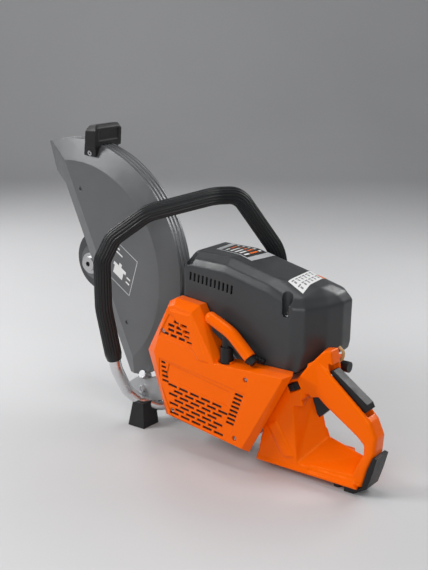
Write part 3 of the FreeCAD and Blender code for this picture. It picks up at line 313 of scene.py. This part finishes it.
def well(name, bottom, radius):
    """Round-bottomed tool that stands upright, for boolean cuts."""
    bm = bmesh.new()
    for height in (0.0, POCKET_RISE):
        place = Matrix.Translation(Vector(bottom) + Vector((0, 0, height)))
        bmesh.ops.create_icosphere(bm, subdivisions=4, radius=radius, matrix=place)
    result = bmesh.ops.convex_hull(bm, input=bm.verts)
    inner = result["geom_interior"] + result["geom_unused"] + result["geom_holes"]
    bmesh.ops.delete(bm, geom=[item for item in set(inner) if isinstance(item, bmesh.types.BMVert)])
    bmesh.ops.recalc_face_normals(bm, faces=bm.faces)
    return mesh_object(name, bm, None)


def soft_copy(node, name, body, material, voxel, rounds, tools=()):
    """Moulded copy of a CAD node, with every edge rounded, that takes the node's place."""
    bm = bmesh.new()
    bm.from_mesh(nodes[node].data)
    obj = mesh_object(name, bm, material)
    soften(obj, voxel, rounds)
    for tool in tools:
        carve(obj, tool)
    smooth_by_angle(obj, 40)
    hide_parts(node)
    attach(obj, body)


def smooth_by_angle(obj, degrees):
    """Smooth shading that keeps sharp edges."""
    obj.data.shade_smooth()
    bm = bmesh.new()
    bm.from_mesh(obj.data)
    for edge in bm.edges:
        edge.smooth = len(edge.link_faces) == 2 and edge.calc_face_angle(0) < math.radians(degrees)
    bm.to_mesh(obj.data)
    bm.free()


# ---------------------------------------------------------------- top cover

def cover_floor(name):
    """Tool below the cover's lower edge."""
    edge = [(0.2, -0.005), (0.262, -0.007), (0.3, -0.015), (0.385, -0.08), (0.452, -0.08), (0.476, -0.064),
            (0.52, -0.03), (0.52, -0.2), (0.2, -0.2)]
    return prism_object(name, edge, -0.12, 0.12)


def top_cover():
    """Engine cover with soft shoulders, a vent row and sunk screws."""
    outer = mesh_object("engine_cover", node_hull("top_cover"), COVER_GREY)
    soften(outer, COVER_VOXEL, 13)
    inner = outer.copy()
    inner.data = outer.data.copy()
    bpy.context.scene.collection.objects.link(inner)
    shrink = inner.modifiers.new("shrink", "DISPLACE")
    shrink.mid_level = 0
    shrink.strength = -COVER_WALL
    apply_all(inner)
    for vertex in inner.data.vertices:
        if vertex.co.z < -0.06:
            vertex.co.z -= 0.03
    for spot in POCKET_BOTTOMS:
        carve(inner, well("well_outside", spot, POCKET_R + POCKET_WALL))
    carve(outer, inner)
    for spot in POCKET_BOTTOMS:
        carve(outer, well("well_inside", spot, POCKET_R))
    for step in range(VENTS):
        x = VENT_START[0] + VENT_STEP[0] * step
        z = VENT_START[1] + VENT_STEP[1] * step
        slot = [(x, z), (x + 0.0034, z), (x + 0.0024, z - 0.013), (x - 0.001, z - 0.013)]
        carve(outer, prism_object("vent", slot, -0.07, -0.06))
    carve(outer, cover_floor("floor_cut"))
    smooth_by_angle(outer, 40)
    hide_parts("top_cover")
    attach(outer, "machine")
    return outer


cover = top_cover()


# ---------------------------------------------------------------- labels

LABEL_WHITE = finish("label_white", (0.75, 0.75, 0.74), 0.35, shade=0.04)
LABEL_DARK = finish("label_dark", (0.03, 0.03, 0.032), 0.35, shade=0.1)
LABEL_SILVER = finish("label_silver", (0.55, 0.56, 0.57), 0.35, metallic=0.3, shade=0.08)
LABEL_ORANGE = finish("label_orange", (0.85, 0.16, 0.02), 0.35, shade=0.05)
LABEL_GREY = finish("label_grey", (0.22, 0.22, 0.23), 0.4, shade=0.1)


def surface_tree(obj):
    """Ray-cast tree of an object's mesh."""
    bm = bmesh.new()
    bm.from_mesh(obj.data)
    tree = BVHTree.FromBMesh(bm)
    bm.free()
    return tree


def stick(name, tree, corners, cells, direction, lift, material, body):
    """Thin printed patches laid on a surface; each cell is a range of the label's two sides."""
    bm = bmesh.new()
    a, b, c, d = (Vector(p) for p in corners)
    aim = Vector(direction).normalized()
    for u0, u1, v0, v1 in cells:
        across = max(2, int(((b - a).length * (u1 - u0)) / 0.003))
        along = max(2, int(((d - a).length * (v1 - v0)) / 0.003))
        grid = []
        for i in range(across + 1):
            row = []
            for j in range(along + 1):
                u = u0 + (u1 - u0) * i / across
                v = v0 + (v1 - v0) * j / along
                flat = a.lerp(b, u).lerp(d.lerp(c, u), v)
                spot, normal, index, reach = tree.ray_cast(flat - aim * 0.1, aim)
                row.append(bm.verts.new(spot + normal * lift))
            grid.append(row)
        for i in range(across):
            for j in range(along):
                bm.faces.new((grid[i][j], grid[i + 1][j], grid[i + 1][j + 1], grid[i][j + 1]))
    bmesh.ops.recalc_face_normals(bm, faces=bm.faces)
    for face in bm.faces:
        if face.normal.dot(aim) > 0:
            face.normal_flip()
    obj = mesh_object(name, bm, material)
    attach(obj, body)
    return obj


def cover_labels():
    """Data plate and pictogram label on the cover, with generic marks only."""
    tree = surface_tree(cover)
    down = (0, 0, -1)
    plate = [(0.284, -0.022, 0.09), (0.281, 0.022, 0.09), (0.360, 0.024, 0.09), (0.354, -0.030, 0.09)]
    stick("plate_border", tree, plate, [(0, 1, 0, 1)], down, 0.0002, LABEL_SILVER, "machine")
    stick("plate_field", tree, plate, [(0.05, 0.95, 0.12, 0.84)], down, 0.0004, LABEL_DARK, "machine")
    bars = []
    warm = []
    for row in range(5):
        v = 0.2 + 0.125 * row
        split = 0.34 + 0.09 * ((row * 7) % 4)
        bars.append((0.12, split, v, v + 0.05))
        warm.append((split + 0.05, 0.72, v, v + 0.05))
        bars.append((0.77, 0.88, v, v + 0.05))
    stick("plate_marks", tree, plate, bars, down, 0.0006, LABEL_WHITE, "machine")
    stick("plate_accents", tree, plate, warm, down, 0.0006, LABEL_ORANGE, "machine")
    sticker = [(0.424, -0.040, 0.09), (0.420, 0.038, 0.09), (0.446, 0.034, 0.09), (0.451, -0.043, 0.09)]
    stick("sticker_base", tree, sticker, [(0, 1, 0, 1)], down, 0.0002, LABEL_WHITE, "machine")
    stick("sticker_flag", tree, sticker, [(0.8, 1.0, 0.5, 1.0)], down, 0.0004, LABEL_ORANGE, "machine")
    tiles = []
    for column in range(6):
        for row in range(2):
            u = 0.05 + 0.125 * column
            v = 0.12 + 0.44 * row
            tiles.append((u, u + 0.085, v, v + 0.08))
            tiles.append((u + 0.02, u + 0.06, v + 0.14, v + 0.3))
    stick("sticker_marks", tree, sticker, tiles, down, 0.0004, LABEL_GREY, "machine")


cover_labels()


def guard_label():
    """Outlined label on the guard's left panel, with a generic drawing."""
    tree = surface_tree(nodes["guard_shell"])
    corners = [(0.085, -0.05, 0.062), (0.135, -0.05, 0.030), (0.116, -0.05, -0.030), (0.066, -0.05, 0.002)]
    edge = 0.02
    frame_cells = [(0, 1, 0, edge), (0, 1, 1 - edge, 1), (0, edge, 0, 1), (1 - edge, 1, 0, 1)]
    right = (0, 1, 0)
    stick("guard_label_frame", tree, corners, frame_cells, right, 0.0002, LABEL_SILVER, "guard")
    drawing = [(0.2, 0.7, 0.52, 0.6), (0.25, 0.62, 0.6, 0.8), (0.4, 0.5, 0.44, 0.52), (0.76, 0.9, 0.6, 0.64),
               (0.76, 0.9, 0.72, 0.76), (0.15, 0.3, 0.12, 0.16), (0.15, 0.45, 0.22, 0.26)]
    stick("guard_label_marks", tree, corners, drawing, right, 0.0003, LABEL_WHITE, "guard")


guard_label()


# ---------------------------------------------------------------- front handle sleeve

HANDLE_PATH = [
    (0.138, -0.064, -0.176), (0.140, -0.091, -0.131), (0.139, -0.116, -0.025), (0.139, -0.117, 0.050),
    (0.151, -0.104, 0.085), (0.198, -0.078, 0.125), (0.280, -0.022, 0.152), (0.301, 0.010, 0.151),
    (0.340, 0.058, 0.063), (0.349, 0.060, 0.010), (0.388, 0.060, -0.060),
]
HANDLE_BENDS = [0.09, 0.03, 0.03, 0.06, 0.045, 0.03, 0.06, 0.06]


def rounded_line(corners, bends, step=0.003):
    """Evenly spaced points along straight runs joined by arcs."""
    line = [Vector(corners[0])]
    for index, bend in enumerate(bends):
        corner = Vector(corners[index + 1])
        back = (Vector(corners[index]) - corner).normalized()
        ahead = (Vector(corners[index + 2]) - corner).normalized()
        half = back.angle(ahead) / 2
        reach = bend / math.tan(half)
        centre = corner + (back + ahead).normalized() * bend / math.sin(half)
        first = corner + back * reach - centre
        turning = math.pi - 2 * half
        axis = first.cross(corner + ahead * reach - centre).normalized()
        count = max(3, int(turning * bend / step))
        for k in range(count + 1):
            line.append(centre + Matrix.Rotation(turning * k / count, 3, axis) @ first)
    line.append(Vector(corners[-1]))
    even = [line[0]]
    for a, b in zip(line, line[1:]):
        pieces = max(1, int((b - a).length / step))
        even += [a.lerp(b, (k + 1) / pieces) for k in range(pieces) if (b - a).length > 1e-6]
    return even


def sleeve():
    """Rubber sleeve with lengthwise ridges, closed onto the tube at both ends."""
    start = Vector(HANDLE_PATH[1]).lerp(Vector(HANDLE_PATH[2]), SLEEVE_START_SHARE)
    end = Vector(HANDLE_PATH[9]).lerp(Vector(HANDLE_PATH[10]), SLEEVE_STOP_SHARE)
    corners = [start] + HANDLE_PATH[2:10] + [end]
    line = rounded_line(corners, HANDLE_BENDS)
    across = Vector((1, 0, 0))
    total = len(line)
    around = RIDGES * 8
    bm = bmesh.new()
    rings = []
    for index, point in enumerate(line):
        heading = (line[min(index + 1, total - 1)] - line[max(index - 1, 0)]).normalized()
        across = (across - heading * across.dot(heading)).normalized()
        other = heading.cross(across)
        near_end = min(index, total - 1 - index)
        rise = min(1.0, 0.55 + 0.15 * near_end)
        ring = []
        for k in range(around):
            angle = 2 * math.pi * k / around
            wave = math.cos(RIDGES * angle)
            depth = RIDGE_DEPTH * (1 - max(-1.0, min(1.0, 1.6 * wave))) * 0.5
            if near_end < 5:
                depth = 0.0
            radius = SLEEVE_END_R + (SLEEVE_R - SLEEVE_END_R) * rise - depth
            ring.append(bm.verts.new(point + (across * math.cos(angle) + other * math.sin(angle)) * radius))
        rings.append(ring)
    for ring, following in zip(rings, rings[1:]):
        for k in range(around):
            j = (k + 1) % around
            bm.faces.new((ring[k], ring[j], following[j], following[k]))
    bm.faces.new(rings[0][::-1])
    bm.faces.new(rings[-1])
    bmesh.ops.recalc_face_normals(bm, faces=bm.faces)
    obj = mesh_object("handle_sleeve", bm, SLEEVE)
    smooth_by_angle(obj, 50)
    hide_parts("front_sleeve")
    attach(obj, "machine")


sleeve()


def switch_pocket():
    """Tool that keeps the stop switch's pocket as wide as it is in the frame."""
    outline = []
    for right, over in ((-1, -1), (1, -1), (1, 1), (-1, 1)):
        u = SWITCH_HALF[0] * right
        w = SWITCH_HALF[1] * over
        x = SWITCH_X + u * math.cos(SWITCH_TILT) - w * math.sin(SWITCH_TILT)
        z = SWITCH_Z + u * math.sin(SWITCH_TILT) + w * math.cos(SWITCH_TILT)
        outline.append((x, z))
    return prism_object("switch_pocket", outline, -0.072, -0.0583)


soft_copy("rear_handle_tank", "tank_moulding", "machine", ORANGE, 0.0013, 8, [switch_pocket()])
soft_copy("guard_handle", "guard_grip", "guard", BLACK, 0.0008, 12)


# ---------------------------------------------------------------- painted shade behind the starter grilles

def starter_grille_shade_sheets():
    """Painted shade: thin black sheets just behind the starter's grilles, so the openings read dark."""
    place = Matrix.Translation((CRANK_X, 0, CRANK_Z)) @ Matrix.Rotation(ENGINE_TILT, 4, "Y")
    outlines = [
        [(-0.088, 0.045), (-0.074, 0.081), (-0.05, 0.078), (-0.012, 0.045)],
        [(-0.086, 0.008), (0.072, 0.008), (0.056, -0.06), (0.046, -0.074), (-0.05, -0.074), (-0.083, -0.028)],
    ]
    for number, outline in enumerate(outlines):
        obj = prism_object("baffle_%d" % number, outline, *GRILLE_SHADE_Y)
        obj.data.materials.append(BLACK)
        obj.data.transform(place)
        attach(obj, "machine")


starter_grille_shade_sheets()


# ---------------------------------------------------------------- starter rope

def starter_rope():
    """Twisted rope in the place of the CAD rope."""
    low, high = (Vector(corner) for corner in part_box("starter_rope"))
    centre = (low + high) / 2
    radius = (high.x - low.x) / 2
    around = 18
    steps = 60
    lay = 20  # rings in which the three strands go once round
    bm = bmesh.new()
    rings = []
    for index in range(steps + 1):
        z = low.z + (high.z - low.z) * index / steps
        ring = []
        for k in range(around):
            angle = 2 * math.pi * k / around
            reach = radius * (0.92 + 0.08 * math.cos(3 * (angle - 2 * math.pi * index / lay)))
            x = centre.x + reach * math.cos(angle)
            y = centre.y + reach * math.sin(angle)
            ring.append(bm.verts.new((x, y, z)))
        rings.append(ring)
    for ring, following in zip(rings, rings[1:]):
        for k in range(around):
            j = (k + 1) % around
            bm.faces.new((ring[k], ring[j], following[j], following[k]))
    bm.faces.new(rings[0][::-1])
    bm.faces.new(rings[-1])
    obj = mesh_object("rope_line", bm, ROPE)
    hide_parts("starter_rope")
    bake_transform(obj)


starter_rope()


# ---------------------------------------------------------------- floor, light and camera

def floor():
    """Pale floor that curves up behind the saw."""
    bm = bmesh.new()
    profile = [(-4.0, 0.0), (2.2, 0.0)]
    for k in range(1, 13):
        angle = math.pi / 2 * k / 12
        profile.append((2.2 + 0.9 * math.sin(angle), 0.9 - 0.9 * math.cos(angle)))
    profile.append((3.1, 4.0))
    lines = []
    for y, z in profile:
        lines.append([bm.verts.new((x, y, GROUND + z)) for x in (-6.0, 6.0)])
    for (a, b), (c, d) in zip(lines, lines[1:]):
        bm.faces.new((a, b, d, c))
    mat, tree, bsdf = shader("floor")
    tone = mix_colour(tree, noise(tree, 3.0), (0.5, 0.5, 0.505), (0.54, 0.54, 0.545))
    tree.links.new(tone, bsdf.inputs["Base Color"])
    bsdf.inputs["Roughness"].default_value = 0.6
    obj = mesh_object("floor", bm, mat)
    obj.data.transform(Matrix.Rotation(VIEW_AZIMUTH, 4, "Z"))


def area(name, position, target, size, power):
    """Soft rectangular light aimed at a point."""
    lamp = bpy.data.lights.new(name, "AREA")
    lamp.shape = "RECTANGLE"
    lamp.size, lamp.size_y = size
    lamp.energy = power
    obj = bpy.data.objects.new(name, lamp)
    bpy.context.scene.collection.objects.link(obj)
    obj.location = position
    obj.rotation_euler = (Vector(target) - Vector(position)).to_track_quat("-Z", "Y").to_euler()


def camera():
    """Camera at the picture's viewing angle."""
    data = bpy.data.cameras.new("camera")
    data.lens = CAMERA_LENS
    data.sensor_width = SENSOR_WIDTH
    obj = bpy.data.objects.new("camera", data)
    bpy.context.scene.collection.objects.link(obj)
    turn = Matrix.Rotation(VIEW_AZIMUTH, 4, "Z")
    tip = Matrix.Rotation(math.pi / 2 - VIEW_ELEVATION, 4, "X")
    roll = Matrix.Rotation(VIEW_ROLL, 4, "Z")
    obj.matrix_world = Matrix.Translation(CAMERA_PLACE) @ turn @ tip @ roll
    bpy.context.scene.camera = obj


floor()
for light in LIGHTS:
    area(*light)
bpy.context.scene.view_settings.view_transform = "Standard"
world = bpy.data.worlds.new("world")
world.use_nodes = True
world.node_tree.nodes["Background"].inputs["Color"].default_value = (0.9, 0.92, 0.95, 1)
world.node_tree.nodes["Background"].inputs["Strength"].default_value = WORLD_STRENGTH
bpy.context.scene.world = world
camera()
